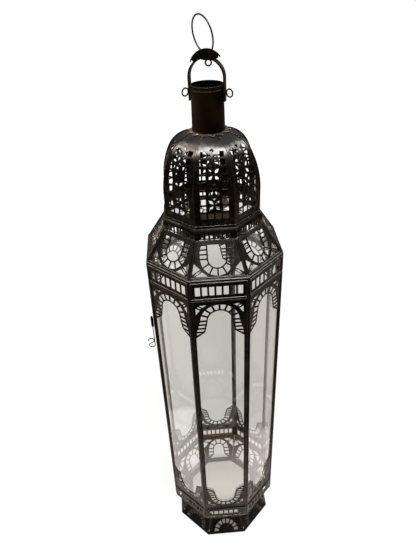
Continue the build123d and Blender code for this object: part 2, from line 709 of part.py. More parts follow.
# Collar and dome
def make_collar():
    """Half-round pierced moulding under the dome, with a thin upright lip."""
    low = (-COLLAR_REACH, COLLAR_Z)
    lip_face = DOME_REACH + SEAT_GAP + COLLAR_SHEET
    high = (-lip_face, DOME_Z)
    middle_z = (COLLAR_Z + DOME_Z) / 2
    middle = -(COLLAR_REACH + lip_face) / 2 - COLLAR_BULGE
    outer = ThreePointArc(low, (middle, middle_z), high)
    lip_top = DOME_Z + COLLAR_LIP
    inner_lip = -(lip_face - COLLAR_SHEET)
    lip = Polyline(high, (-lip_face, lip_top), (inner_lip, lip_top), (inner_lip, DOME_Z - COLLAR_SHEET))
    back = ThreePointArc((inner_lip, DOME_Z - COLLAR_SHEET), (middle + COLLAR_SHEET, middle_z),
                         (low[0] + COLLAR_SHEET, COLLAR_Z))
    foot = Line((low[0] + COLLAR_SHEET, COLLAR_Z), low)
    section = make_face(outer + lip + back + foot)
    bar = extrude(Plane.YZ * section, amount=REACH, both=True) & sector(TACK_GAP / 2)
    slots = []
    for index in range(COLLAR_SLOTS):
        x = (index - (COLLAR_SLOTS - 1) / 2) * COLLAR_SLOT_PITCH
        z = COLLAR_Z + COLLAR_SLOT_RISE + COLLAR_SLOT_HEIGHT / 2
        slots.append(Pos(x, -COLLAR_REACH, z) * Box(COLLAR_SLOT_WIDTH, COLLAR_REACH / 2, COLLAR_SLOT_HEIGHT))
    return all_round(bar - slots)


NECK_GAP = NECK_FOOT_RADIUS + SEAT_GAP
SIDE_TURN = radians(DOME_SIDE_SWEEP)
CAP_TURN = radians(DOME_CAP_SWEEP)
WALL_TOP = DOME_Z + DOME_WALL
HIP_REACH = DOME_REACH - DOME_SIDE_RADIUS * (1 - cos(SIDE_TURN))
HIP_Z = WALL_TOP + DOME_SIDE_RADIUS * sin(SIDE_TURN)
CAP_RADIUS = (HIP_REACH - NECK_GAP) / (cos(SIDE_TURN) - cos(CAP_TURN))
CAP_REACH = HIP_REACH - CAP_RADIUS * cos(SIDE_TURN)
CAP_Z = HIP_Z - CAP_RADIUS * sin(SIDE_TURN)
CROWN_Z = CAP_Z + CAP_RADIUS * sin(CAP_TURN)


def dome_curve(offset):
    """Points of the dome's side view, moved outwards by an offset: two straight ends and two arcs."""
    side_centre = DOME_REACH - DOME_SIDE_RADIUS
    side = DOME_SIDE_RADIUS + offset
    cap = CAP_RADIUS + offset
    half_side = SIDE_TURN / 2
    half_cap = (SIDE_TURN + CAP_TURN) / 2
    start = (-(DOME_REACH + offset), DOME_Z)
    wall = (-(DOME_REACH + offset), WALL_TOP)
    side_middle = (-(side_centre + side * cos(half_side)), WALL_TOP + side * sin(half_side))
    hip = (-(side_centre + side * cos(SIDE_TURN)), WALL_TOP + side * sin(SIDE_TURN))
    cap_middle = (-(CAP_REACH + cap * cos(half_cap)), CAP_Z + cap * sin(half_cap))
    end = (-(CAP_REACH + cap * cos(CAP_TURN)), CAP_Z + cap * sin(CAP_TURN))
    return start, wall, side_middle, hip, cap_middle, end


def dome_shell(inside, outside):
    """The dome's curved sheet over facet 0, between two offsets, before its edges are cut."""
    a, b, c, d, e, f = dome_curve(outside)
    p, q, r, s, t, u = dome_curve(inside)
    outer = Line(a, b) + ThreePointArc(b, c, d) + ThreePointArc(d, e, f)
    inner = Line(p, q) + ThreePointArc(q, r, s) + ThreePointArc(s, t, u)
    section = make_face(outer + inner + Line(a, p) + Line(f, u))
    return extrude(Plane.YZ * section, amount=REACH, both=True)


def dome_point(along):
    """Distance from the axis, height and slope angle of the dome's sheet at a length up from its edge."""
    side_length = DOME_SIDE_RADIUS * SIDE_TURN
    if along <= DOME_WALL:
        return DOME_REACH, DOME_Z + along, 0.0
    if along <= DOME_WALL + side_length:
        angle = (along - DOME_WALL) / DOME_SIDE_RADIUS
        reach = DOME_REACH - DOME_SIDE_RADIUS * (1 - cos(angle))
        return reach, WALL_TOP + DOME_SIDE_RADIUS * sin(angle), angle
    angle = SIDE_TURN + (along - DOME_WALL - side_length) / CAP_RADIUS
    return CAP_REACH + CAP_RADIUS * cos(angle), CAP_Z + CAP_RADIUS * sin(angle), angle


def dome_cutter(along, x, face):
    """A punch for one opening in the dome, square to the sheet there."""
    reach, z, angle = dome_point(along)
    plane = Plane(origin=(x, -reach, z), x_dir=(1, 0, 0), z_dir=(0, -cos(angle), sin(angle)))
    return extrude(plane * face, amount=SHEET * 3, both=True)


def make_gore():
    """One curved gore of the dome, pierced with two columns of squares and stars of leaves between."""
    cutters = []
    square = Rectangle(DOME_SQUARE, DOME_SQUARE)
    for row in range(DOME_ROWS):
        along = DOME_ROW_RISE + row * DOME_ROW_PITCH
        column = half_width(dome_point(along)[0]) * DOME_COLUMN_SHARE
        places = (-column, -column / 3, column / 3, column) if row == 0 else (-column, column)
        for x in places:
            cutters.append(dome_cutter(along, x, square))
    tip = LEAF_LENGTH / 2
    leaf = polygon([(-tip, 0), (0, LEAF_WIDTH / 2), (tip, 0), (0, -LEAF_WIDTH / 2)])
    diamond = Rot(0, 0, 45) * Rectangle(LEAF_WIDTH, LEAF_WIDTH)
    for star in range(DOME_STARS):
        middle = DOME_ROW_RISE + (DOME_STAR_ROW + 2 * star) * DOME_ROW_PITCH
        for side in (-1, 1):
            for level in (-1, 1):
                turned_leaf = Rot(0, 0, 45 * side * level) * leaf
                cutters.append(dome_cutter(middle + level * LEAF_OFFSET, side * LEAF_OFFSET, turned_leaf))
        cutters.append(dome_cutter(middle + DOME_ROW_PITCH, 0, diamond))
    sheet = dome_shell(-SHEET, 0) & sector(RIB_HALF + TACK_GAP / 2)
    return sheet - cutters


def make_ribs():
    """Raised seam over each corner of the dome."""
    under_tabs = Cylinder(NECK_FOOT_RADIUS + FLANGE_TIP + SEAT_GAP, CROWN_Z * 4)
    over_lip = above(DOME_Z + COLLAR_LIP + TACK_GAP)
    band = (dome_shell(-SHEET, RIB_PROUD) & over_lip) - under_tabs
    side = band & (sector(0) - sector(RIB_HALF))
    right = [solid for solid in side.solids() if solid.center().X > 0][0]
    corner = Plane(origin=(0, 0, 0), x_dir=(0, 0, 1), z_dir=(cos(HALF_ANGLE), sin(HALF_ANGLE), 0))
    return all_round(right + mirror(right, corner))


# Neck
NECK_LOW = CROWN_Z - NECK_SINK
NECK_TOP = CROWN_Z + NECK_HEIGHT
PIN_Z = NECK_TOP - PIN_DROP


def neck_radius(z):
    """Outer radius of the slightly tapered neck at a height."""
    share = (z - NECK_LOW) / (NECK_TOP - NECK_LOW)
    return NECK_FOOT_RADIUS + (NECK_MOUTH_RADIUS - NECK_FOOT_RADIUS) * share


def make_neck():
    """Open neck tube with two rolled beads at the mouth and holes for the bail pins."""
    top = NECK_TOP
    outline = Polyline((neck_radius(NECK_LOW) - NECK_WALL, NECK_LOW), (neck_radius(NECK_LOW), NECK_LOW),
                       (neck_radius(top), top), (neck_radius(top) - NECK_WALL, top), close=True)
    tube = revolve(Plane.XZ * make_face(outline), axis=Axis.Z)
    for level in (top - NECK_BEAD_RADIUS, top - NECK_BEAD_RADIUS - NECK_BEAD_STEP):
        ring = Pos(0, 0, level) * Torus(neck_radius(level) - NECK_WALL / 4, NECK_BEAD_RADIUS)
        inside = Pos(0, 0, level) * Cylinder(neck_radius(level) - NECK_WALL, 4 * NECK_BEAD_RADIUS)
        tube = tube + (ring - inside)
    bore = Rot(0, 90, 0) * Cylinder(PIN_RADIUS + RUNNING_CLEARANCE, 4 * NECK_FOOT_RADIUS)
    return tube - Pos(0, 0, PIN_Z) * Rot(0, 0, BAIL_TURN) * bore


def make_flange():
    """Sloping ring of pointed tabs at the foot of the neck, soldered down on the dome."""
    root = NECK_FOOT_RADIUS + FLANGE_ROOT
    tip = NECK_FOOT_RADIUS + FLANGE_TIP
    points = []
    for index in range(2 * FLANGE_POINTS):
        radius = tip if index % 2 == 0 else root
        angle = pi * index / FLANGE_POINTS
        points.append((radius * cos(angle), radius * sin(angle)))
    inside = NECK_FOOT_RADIUS + TACK_GAP
    drop = (tip - inside) * tan(radians(FLANGE_SLOPE))
    low = CROWN_Z + SEAT_GAP
    section = polygon([(inside, low), (tip, low - drop), (tip, low - drop + SHEET), (inside, low + SHEET)])
    cone = revolve(Plane.XZ * section, axis=Axis.Z)
    return cone & Pos(0, 0, low) * extrude(polygon(points), amount=FLANGE_TIP, both=True)


# Bail and fittings
BAIL_Z = PIN_Z + BAIL_LEG_ABOVE
BAIL_OUTER = BAIL_INNER_HALF + BAIL_THICKNESS
ROSETTE_TOP = BAIL_Z + BAIL_OUTER + ROSETTE_RISE
SWIVEL_BORE = SWIVEL_RADIUS + RUNNING_CLEARANCE
LOWER_EYE_HANG = BAIL_INNER_HALF - SEAT_GAP - LOWER_EYE_RADIUS - LOWER_EYE_WIRE
LOWER_EYE_Z = BAIL_Z + (LOWER_EYE_HANG ** 2 - LOWER_EYE_SHIFT ** 2) ** 0.5
UPPER_EYE_Z = BAIL_Z + BAIL_OUTER + 2 * SEAT_GAP + UPPER_EYE_RADIUS + UPPER_EYE_WIRE
RING_Z = UPPER_EYE_Z - UPPER_EYE_RADIUS + UPPER_EYE_WIRE + RING_WIRE + SEAT_GAP
RING_DEPTH = ROSETTE_TOP - ROSETTE_SHEET - RING_Z
RING_PASS = (2 * RING_DEPTH / (1 / ROSETTE_SPHERE + 1 / RING_RADIUS)) ** 0.5


def make_bail():
    """Flat strap bent to an arch across the neck, with a hole in each leg and one at the top."""
    outer = BAIL_OUTER
    inner = BAIL_INNER_HALF
    low = PIN_Z - BAIL_LEG_BELOW
    left = Polyline((-inner, BAIL_Z), (-inner, low), (-outer, low), (-outer, BAIL_Z))
    right = Polyline((outer, BAIL_Z), (outer, low), (inner, low), (inner, BAIL_Z))
    over = ThreePointArc((-outer, BAIL_Z), (0, BAIL_Z + outer), (outer, BAIL_Z))
    under = ThreePointArc((inner, BAIL_Z), (0, BAIL_Z + inner), (-inner, BAIL_Z))
    strap = extrude(Plane.XZ * make_face(left + over + right + under), amount=BAIL_WIDTH / 2, both=True)
    pins = Pos(0, 0, PIN_Z) * Rot(0, 90, 0) * Cylinder(PIN_RADIUS + RUNNING_CLEARANCE, 4 * outer)
    top = Pos(0, 0, BAIL_Z + outer) * Cylinder(SWIVEL_BORE, 4 * BAIL_THICKNESS)
    return Rot(0, 0, BAIL_TURN) * (strap - pins - top)


def make_bail_pin(side, turn):
    """Split pin through one leg and the neck: eye outside, turned forward, spread tail inside."""
    root = BAIL_OUTER + SEAT_GAP + PIN_EYE_WIRE
    tail = neck_radius(PIN_Z) - NECK_WALL - SEAT_GAP - PIN_EYE_WIRE
    shank = Pos((tail + root) / 2, 0, PIN_Z) * Rot(0, 90, 0) * Cylinder(PIN_RADIUS, root - tail)
    loop = Pos(PIN_EYE_RADIUS, 0, 0) * Rot(90, 0, 0) * Torus(PIN_EYE_RADIUS, PIN_EYE_WIRE)
    eye = Pos(root, 0, PIN_Z) * Rot(0, 0, -turn) * loop
    spread = Pos(tail, 0, PIN_Z) * Cylinder(PIN_EYE_WIRE, PIN_TAIL)
    pin = shank + eye + spread
    placed = pin if side > 0 else mirror(pin, Plane.YZ)
    return Rot(0, 0, BAIL_TURN) * placed


def make_rosette():
    """Domed flower of sheet iron over the upper eye, a little askew, with two holes for the ring."""
    ball = Sphere(ROSETTE_SPHERE) - Sphere(ROSETTE_SPHERE - ROSETTE_SHEET)
    petals = Circle(PETAL_CENTRE)
    for index in range(ROSETTE_PETALS):
        angle = 2 * pi * index / ROSETTE_PETALS
        petals = petals + Pos(PETAL_CENTRE * cos(angle), PETAL_CENTRE * sin(angle)) * Circle(PETAL_RADIUS)
    cut = ball & extrude(petals, amount=ROSETTE_SPHERE * 2)
    flower = Rot(-ROSETTE_NOD, 0, 0) * Rot(0, -ROSETTE_TILT, 0) * cut
    hole = Cylinder(RING_HOLE, ROSETTE_SPHERE * 3)
    holes = [Rot(0, 0, RING_TURN) * Pos(side * RING_PASS, 0, 0) * hole for side in (-1, 1)]
    return Pos(0, 0, ROSETTE_TOP - ROSETTE_SPHERE) * (flower - holes)


def make_swivel_eye():
    """Wire eye through the bail: a loop under the strap and one above it, inside the flower."""
    low = LOWER_EYE_Z + (LOWER_EYE_RADIUS ** 2 - LOWER_EYE_SHIFT ** 2) ** 0.5
    high = UPPER_EYE_Z - UPPER_EYE_RADIUS
    shank = Pos(0, 0, (low + high) / 2) * Cylinder(SWIVEL_RADIUS, high - low)
    lower = Pos(LOWER_EYE_SHIFT, 0, LOWER_EYE_Z) * Rot(90, 0, 0) * Torus(LOWER_EYE_RADIUS, LOWER_EYE_WIRE)
    loop = Torus(UPPER_EYE_RADIUS, UPPER_EYE_WIRE)
    upper = Pos(0, 0, UPPER_EYE_Z) * Rot(0, 0, RING_TURN) * Rot(0, 90, 0) * loop
    return shank + lower + upper


def make_ring():
    """Round wire ring that stands in the upper eye and leans in the holes of the flower."""
    upright = Pos(0, 0, RING_RADIUS) * Rot(90, 0, 0) * Torus(RING_RADIUS, RING_WIRE)
    return Pos(0, 0, RING_Z) * Rot(0, 0, RING_TURN) * Rot(RING_TILT, 0, 0) * upright


os.makedirs("parts", exist_ok=True)

save("foot_hem", make_hem())
save("foot_skirt", make_skirt())
save("waist_ledge", make_ledge())
save("base_panels", make_base_panels())
save("floor_pane", make_floor_pane())

save("lower_band", all_round(make_band(BODY_Z, LOWER_BAND_HEIGHT)))
save("upper_band", all_round(make_band(UPPER_BAND_Z, UPPER_BAND_HEIGHT)))

post = make_post()
side_frame = make_side_frame()
pane = make_pane(PANE_FACE, half_width(PANE_FACE - GLASS) - SEAT_GAP)
clips = []
for facet in range(FACETS):
    save(f"corner_post_{facet + 1}", turned(post, facet))
    if facet == DOOR_FACET:
        continue
    save(f"side_frame_{facet + 1}", turned(side_frame, facet))
    save(f"glass_pane_{facet + 1}", turned(pane, facet))
    clips.extend(turned(clip, facet) for clip in make_clips(PANE_FACE))
save("pane_clips", clips)

door_pane_face = REACH - SHEET - TACK_GAP
door_pane_half = half_width(POST_FACE) - POST_FLANGE - FRAME_GAP
save("door_frame", turned(make_door_frame(side_frame), DOOR_FACET))
save("door_pane", turned(make_pane(door_pane_face, door_pane_half), DOOR_FACET))
save("door_clips", [turned(clip, DOOR_FACET) for clip in make_clips(door_pane_face)])
save("hinge_knuckles", [turned(tube, DOOR_FACET) for tube in make_knuckles()])
save("hinge_rod", turned(make_hinge_rod(), DOOR_FACET))
save("latch_staples", [turned(tube, DOOR_FACET - 1) for tube in make_staples()])
save("latch_hook", turned(make_latch(), DOOR_FACET - 1))

save("eave_bar", make_eave())
save("shoulder_panels", make_shoulder_panels())
save("shoulder_panes", make_shoulder_panes())
save("collar", make_collar())
gore = make_gore()
for facet in range(FACETS):
    save(f"dome_gore_{facet + 1}", turned(gore, facet))
save("dome_ribs", make_ribs())
save("neck_tube", make_neck())
save("neck_flange", make_flange())

save("bail", make_bail())
save("bail_pin_left", make_bail_pin(-1, LEFT_EYE_TURN))
save("bail_pin_right", make_bail_pin(1, RIGHT_EYE_TURN))
save("rosette", make_rosette())
save("swivel_eye", make_swivel_eye())
save("hanging_ring", make_ring())
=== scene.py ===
import math

import bpy
from mathutils import Matrix, Vector

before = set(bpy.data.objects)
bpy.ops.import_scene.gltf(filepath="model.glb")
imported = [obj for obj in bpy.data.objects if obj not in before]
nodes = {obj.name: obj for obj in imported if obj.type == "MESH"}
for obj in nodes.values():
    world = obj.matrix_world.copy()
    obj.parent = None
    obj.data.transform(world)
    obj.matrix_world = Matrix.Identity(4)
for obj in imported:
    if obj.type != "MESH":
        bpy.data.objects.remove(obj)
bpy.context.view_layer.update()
scene = bpy.context.scene


# Body sheets: friezes, side frames, door frame, eave bar, corner angles and pane tabs. Thin sheet iron, cut
# by hand and soldered at the corners, blackened and waxed; brown shows through where the black has worn.
# The lower frieze carries a painted reflection of the floor; painted shade blackens the low part of frames
# and angles.
def new_material(name):
    material = bpy.data.materials.new(name)
    material.use_nodes = True
    material.node_tree.nodes.clear()
    return material, material.node_tree


def show(tree, shader):
    output = tree.nodes.new("ShaderNodeOutputMaterial")
    tree.links.new(shader, output.inputs["Surface"])


def tone(tree, colour):
    node = tree.nodes.new("ShaderNodeRGB")
    node.outputs["Color"].default_value = (*colour, 1)
    return node.outputs["Color"]


def noise(tree, place, scale, detail=2.0):
    texture = tree.nodes.new("ShaderNodeTexNoise")
    texture.inputs["Scale"].default_value = scale
    texture.inputs["Detail"].default_value = detail
    tree.links.new(place, texture.inputs["Vector"])
    return texture.outputs["Fac"]


def remap(tree, value, low, high, to_low=0.0, to_high=1.0):
    node = tree.nodes.new("ShaderNodeMapRange")
    node.inputs["From Min"].default_value = low
    node.inputs["From Max"].default_value = high
    node.inputs["To Min"].default_value = to_low
    node.inputs["To Max"].default_value = to_high
    tree.links.new(value, node.inputs["Value"])
    return node.outputs["Result"]


def maths(tree, operation, *values):
    node = tree.nodes.new("ShaderNodeMath")
    node.operation = operation
    for socket, value in zip(node.inputs, values):
        tree.links.new(value, socket)
    return node.outputs["Value"]


def product(tree, first, second):
    return maths(tree, "MULTIPLY", first, second)


def blend(tree, factor, first, second, kind="RGBA"):
    node = tree.nodes.new("ShaderNodeMix")
    node.data_type = kind
    tree.links.new(factor, node.inputs["Factor"])
    tree.links.new(first, node.inputs["A"])
    tree.links.new(second, node.inputs["B"])
    return node.outputs["Result"]


def along(tree, vector, axis):
    node = tree.nodes.new("ShaderNodeSeparateXYZ")
    tree.links.new(vector, node.inputs["Vector"])
    return node.outputs[axis]


def dot(tree, first, second):
    node = tree.nodes.new("ShaderNodeVectorMath")
    node.operation = "DOT_PRODUCT"
    tree.links.new(first, node.inputs[0])
    tree.links.new(second, node.inputs[1])
    return node.outputs["Value"]


def bumped(tree, height, strength, depth, normal):
    node = tree.nodes.new("ShaderNodeBump")
    node.inputs["Distance"].default_value = depth
    tree.links.new(strength, node.inputs["Strength"])
    tree.links.new(height, node.inputs["Height"])
    tree.links.new(normal, node.inputs["Normal"])
    return node.outputs["Normal"]


IRON_COLOURS = ("Dark", "Brown", "Inside", "Top", "Edge", "Dust")
IRON_VALUES = ("Brown Amount", "Top Amount", "Edge Amount", "Dust Amount", "Smoothest", "Roughest",
               "Dents", "Soot Height", "Soft Edges", "Patch Detail")
PATCH_SCALE = 24.0
WORN_RANGE = (0.42, 0.70)
GLOSS_RANGE = (0.3, 0.7)
ACROSS_PLAN = (1, 1, 0)
INNER_REACH = (-0.008, -0.016)
UPWARD_RANGE = (0.25, 0.95)
DUST_SHEEN_RANGE = (0.3, 0.6)
DUST_SHEEN_SHARE = (0.5, 1.0)
SPECK_SCALE = 230.0
SPECK_DETAIL = 3.0
SPECK_RANGE = (0.52, 0.74)
EDGE_RADIUS = 0.0007
EDGE_SAMPLES = 4
EDGE_RANGE = (0.995, 0.85)
PAINTED_SHADE_BLACK = (0.002, 0.0015, 0.001)
DENT_SCALE = 17.0
DENT_DEPTH = 0.006
RIPPLE_SCALE = 65.0
RIPPLE_DETAIL = 4.0
RIPPLE_DEPTH = 0.0004


def iron_colour(tree, source, place, flat, rounded, patches):
    worn = product(tree, remap(tree, patches, *WORN_RANGE), source["Brown Amount"])
    colour = blend(tree, worn, source["Dark"], source["Brown"])
    outward = tree.nodes.new("ShaderNodeVectorMath")
    outward.operation = "MULTIPLY"
    outward.inputs[1].default_value = ACROSS_PLAN
    tree.links.new(place, outward.inputs[0])
    inside = remap(tree, dot(tree, flat, outward.outputs["Vector"]), *INNER_REACH)
    colour = blend(tree, inside, colour, source["Inside"])
    # Faces that look up turn lighter in patches: partly settled dust, partly a painted sheen of the light
    # from above.
    upward = remap(tree, along(tree, flat, "Z"), *UPWARD_RANGE)
    dust_and_sheen = product(tree, upward, remap(tree, patches, *DUST_SHEEN_RANGE, *DUST_SHEEN_SHARE))
    colour = blend(tree, product(tree, dust_and_sheen, source["Top Amount"]), colour, source["Top"])
    specks = remap(tree, noise(tree, place, SPECK_SCALE, SPECK_DETAIL), *SPECK_RANGE)
    colour = blend(tree, product(tree, specks, source["Dust Amount"]), colour, source["Dust"])
    edges = remap(tree, dot(tree, rounded, flat), *EDGE_RANGE)
    colour = blend(tree, product(tree, edges, source["Edge Amount"]), colour, source["Edge"])
    # Everything below the given height is painted near black: painted shade.
    in_painted_shade = maths(tree, "LESS_THAN", along(tree, place, "Z"), source["Soot Height"])
    return blend(tree, in_painted_shade, colour, tone(tree, PAINTED_SHADE_BLACK))


def iron_gloss(tree, source, patches):
    gloss = remap(tree, patches, *GLOSS_RANGE)
    tree.links.new(source["Smoothest"], gloss.node.inputs["To Min"])
    tree.links.new(source["Roughest"], gloss.node.inputs["To Max"])
    return gloss


def iron_relief(tree, source, place, flat, rounded):
    facing = blend(tree, source["Soft Edges"], flat, rounded, kind="VECTOR")
    dents = bumped(tree, noise(tree, place, DENT_SCALE), source["Dents"], DENT_DEPTH, facing)
    ripples = noise(tree, place, RIPPLE_SCALE, RIPPLE_DETAIL)
    return bumped(tree, ripples, source["Dents"], RIPPLE_DEPTH, dents)


def iron_surface_group():
    tree = bpy.data.node_groups.new("iron_surface", "ShaderNodeTree")
    for name in IRON_COLOURS:
        tree.interface.new_socket(name, in_out="INPUT", socket_type="NodeSocketColor")
    for name in IRON_VALUES:
        tree.interface.new_socket(name, in_out="INPUT", socket_type="NodeSocketFloat")
    tree.interface.new_socket("Color", in_out="OUTPUT", socket_type="NodeSocketColor")
    tree.interface.new_socket("Roughness", in_out="OUTPUT", socket_type="NodeSocketFloat")
    tree.interface.new_socket("Normal", in_out="OUTPUT", socket_type="NodeSocketVector")
    source = tree.nodes.new("NodeGroupInput").outputs
    sink = tree.nodes.new("NodeGroupOutput").inputs
    place = tree.nodes.new("ShaderNodeTexCoord").outputs["Object"]
    flat = tree.nodes.new("ShaderNodeNewGeometry").outputs["Normal"]
    bevel = tree.nodes.new("ShaderNodeBevel")
    bevel.samples = EDGE_SAMPLES
    bevel.inputs["Radius"].default_value = EDGE_RADIUS
    rounded = bevel.outputs["Normal"]
    patches = noise(tree, place, PATCH_SCALE)
    tree.links.new(source["Patch Detail"], patches.node.inputs["Detail"])
    tree.links.new(iron_colour(tree, source, place, flat, rounded, patches), sink["Color"])
    tree.links.new(iron_gloss(tree, source, patches), sink["Roughness"])
    tree.links.new(iron_relief(tree, source, place, flat, rounded), sink["Normal"])
    return tree


iron_surface = iron_surface_group()
BODY_FINISH = {
    "dark": (0.008, 0.006, 0.005),
    "brown": (0.030, 0.021, 0.014),
    "inside": (0.21, 0.145, 0.09),
    "top": (0.20, 0.185, 0.17),
    "edge": (0.10, 0.075, 0.055),
    "dust": (0.16, 0.13, 0.10),
    "brown_amount": 0.6,
    "top_amount": 0.7,
    "edge_amount": 0.35,
    "dust_amount": 0.1,
    "smoothest": 0.22,
    "roughest": 0.42,
    "dents": 1.0,
    "soot_height": 0.0,
    "soft_edges": 1.0,
    "patch_detail": 6.0,
}


def iron_material(name, metallic=0.85, specular=0.5, **finish):
    material, tree = new_material(name)
    surface = tree.nodes.new("ShaderNodeGroup")
    surface.node_tree = iron_surface
    for word, value in {**BODY_FINISH, **finish}.items():
        socket = surface.inputs[word.replace("_", " ").title()]
        socket.default_value = (*value, 1) if isinstance(value, tuple) else value
    shader = tree.nodes.new("ShaderNodeBsdfPrincipled")
    shader.inputs["Metallic"].default_value = metallic
    shader.inputs["Specular IOR Level"].default_value = specular
    tree.links.new(surface.outputs["Color"], shader.inputs["Base Color"])
    tree.links.new(surface.outputs["Roughness"], shader.inputs["Roughness"])
    tree.links.new(surface.outputs["Normal"], shader.inputs["Normal"])
    show(tree, shader.outputs["BSDF"])
    return material


def paint(names, material):
    for name in names:
        mesh = nodes[name].data
        mesh.materials.clear()
        mesh.materials.append(material)


def numbered(name, count):
    return [f"{name}_{index}" for index in range(1, count + 1)]


SIDES = 8
FIXED_SIDES = SIDES - 1
body_iron = iron_material("body_iron")
# The lowest part of the frames and angles is painted near black as painted shade.
frame_iron = iron_material(
    "frame_iron", dark=(0.007, 0.0048, 0.0033), brown=(0.036, 0.023, 0.014), inside=(0.05, 0.035, 0.022),
    edge=(0.09, 0.062, 0.042), brown_amount=0.7, top_amount=0.15, smoothest=0.24, roughest=0.44,
    soot_height=0.1275)
# The lower frieze is painted lighter than the other sheets: a painted reflection of the bright floor.
low_iron = iron_material(
    "low_iron", dark=(0.014, 0.0105, 0.008), brown=(0.046, 0.032, 0.022), edge=(0.12, 0.09, 0.066),
    edge_amount=0.4, dust_amount=0.15)
paint(["upper_band", "eave_bar"], body_iron)
paint(["lower_band"], low_iron)
paint(numbered("corner_post", SIDES) + ["pane_clips", "door_clips"], frame_iron)
paint(numbered("side_frame", FIXED_SIDES) + ["door_frame"], frame_iron)


# Shoulder panels and collar: the same blackened sheet, a little browner and dustier, with painted sheen
# where they face up.
# The panels are soldered to the eave bar below and to the pressed half-round collar above.
shoulder_iron = iron_material(
    "shoulder_iron", dark=(0.010, 0.008, 0.006), brown=(0.034, 0.023, 0.015), edge=(0.14, 0.10, 0.065),
    top_amount=0.6, edge_amount=0.5, dust_amount=0.2)
collar_iron = iron_material(
    "collar_iron", dark=(0.006, 0.005, 0.004), brown=(0.024, 0.017, 0.011), inside=(0.012, 0.01, 0.008),
    edge=(0.50, 0.45, 0.38), brown_amount=0.5, top_amount=0.2, edge_amount=0.4, dust_amount=0.15,
    smoothest=0.2, roughest=0.36)
paint(["shoulder_panels"], shoulder_iron)
paint(["collar"], collar_iron)


# Dome: pierced gores of sheet iron with a seam over each joint, soldered to the collar and the neck.
# The cap, facing up, is lighter grey with dust and painted sheen, and pale dust lies between the holes.
dome_iron = iron_material(
    "dome_iron", dark=(0.007, 0.006, 0.005), brown=(0.024, 0.018, 0.013), inside=(0.012, 0.01, 0.008),
    top=(0.125, 0.12, 0.12), edge=(0.12, 0.07, 0.04), dust=(0.26, 0.21, 0.15), brown_amount=0.5,
    edge_amount=0.5, dust_amount=0.25, smoothest=0.18, roughest=0.36)
rib_iron = iron_material(
    "rib_iron", dark=(0.014, 0.010, 0.007), brown=(0.07, 0.043, 0.025), inside=(0.012, 0.01, 0.008),
    top=(0.17, 0.14, 0.115), edge=(0.22, 0.13, 0.07), dust=(0.2, 0.16, 0.12), brown_amount=0.8,
    top_amount=0.6, edge_amount=0.8, dust_amount=0.15, smoothest=0.2, roughest=0.36)
paint(numbered("dome_gore", SIDES), dome_iron)
paint(["dome_ribs"], rib_iron)


# Neck: a rolled sheet tube with two beads at its mouth, nearly black with brown patches, and the pointed
# tabs that solder it to the dome at its foot, bright with old solder.
# The upward faces of its beads carry a painted brown highlight along the mouth.
neck_iron = iron_material(
    "neck_iron", dark=(0.009, 0.006, 0.004), brown=(0.085, 0.052, 0.028), inside=(0.004, 0.003, 0.002),
    top=(0.08, 0.055, 0.036), brown_amount=0.7, top_amount=0.9, edge_amount=0.0, dust_amount=0.0,
    smoothest=0.40, roughest=0.56, metallic=1.0, dents=0.1, soft_edges=0.0, patch_detail=0.5)
solder_tabs = iron_material(
    "solder_tabs", dark=(0.05, 0.036, 0.026), brown=(0.55, 0.44, 0.32), inside=(0.05, 0.04, 0.03),
    top=(0.5, 0.4, 0.3), edge=(0.75, 0.62, 0.48), dust=(0.7, 0.6, 0.5), brown_amount=1.0, top_amount=0.3,
    edge_amount=0.8, dust_amount=0.6, smoothest=0.25, roughest=0.45, dents=1.5)
paint(["neck_tube"], neck_iron)
paint(["neck_flange"], solder_tabs)


# Foot: tapered base panels, waist ledge, flared skirt and hem, cut from the same sheet and soldered,
# scuffed and dusty from standing on the floor.
foot_iron = iron_material(
    "foot_iron", dark=(0.007, 0.006, 0.005), brown=(0.026, 0.019, 0.013), edge=(0.10, 0.08, 0.06),
    brown_amount=0.5, top_amount=0.12, dust_amount=0.12, smoothest=0.26, roughest=0.46)
paint(["base_panels", "waist_ledge", "foot_skirt", "foot_hem"], foot_iron)


# Bail and ring: a flat strap and a ring of drawn wire, both rubbed down to brown iron by the hand. Two
# split pins hold the strap to the neck. The ring hangs in the wire swivel eye at the top of the strap.
strap_iron = iron_material(
    "strap_iron", dark=(0.022, 0.015, 0.010), brown=(0.085, 0.053, 0.033), inside=(0.014, 0.010, 0.007),
    top=(0.15, 0.10, 0.07), brown_amount=0.8, edge_amount=0.0, dust_amount=0.0, smoothest=0.24,
    roughest=0.44, dents=0.15, soft_edges=0.0, patch_detail=1.0)
wire_iron = iron_material(
    "wire_iron", dark=(0.006, 0.005, 0.004), brown=(0.028, 0.018, 0.011), inside=(0.006, 0.005, 0.004),
    top=(0.03, 0.02, 0.013), brown_amount=0.5, top_amount=0.4, edge_amount=0.0, dust_amount=0.0,
    smoothest=0.24, roughest=0.44, dents=0.15, soft_edges=0.0, patch_detail=1.0)
paint(["bail", "hanging_ring"], strap_iron)
paint(["bail_pin_left", "bail_pin_right", "swivel_eye"], wire_iron)


# Rosette: a domed flower cut from thin sheet, black with soot, brown only along the cut edges of its petals.
# It sits over the upper loop of the swivel eye, and the ring passes through two holes in it.
soot_iron = iron_material(
    "soot_iron", dark=(0.002, 0.0016, 0.0013), brown=(0.008, 0.005, 0.003), inside=(0.002, 0.0016, 0.0013),
    top=(0.004, 0.003, 0.002), edge=(0.16, 0.105, 0.065), dust=(0.02, 0.014, 0.009), brown_amount=0.4,
    top_amount=0.3, edge_amount=0.25, dust_amount=0.05, smoothest=0.6, roughest=0.8, metallic=0.0,
    specular=0.0)
paint(["rosette"], soot_iron)


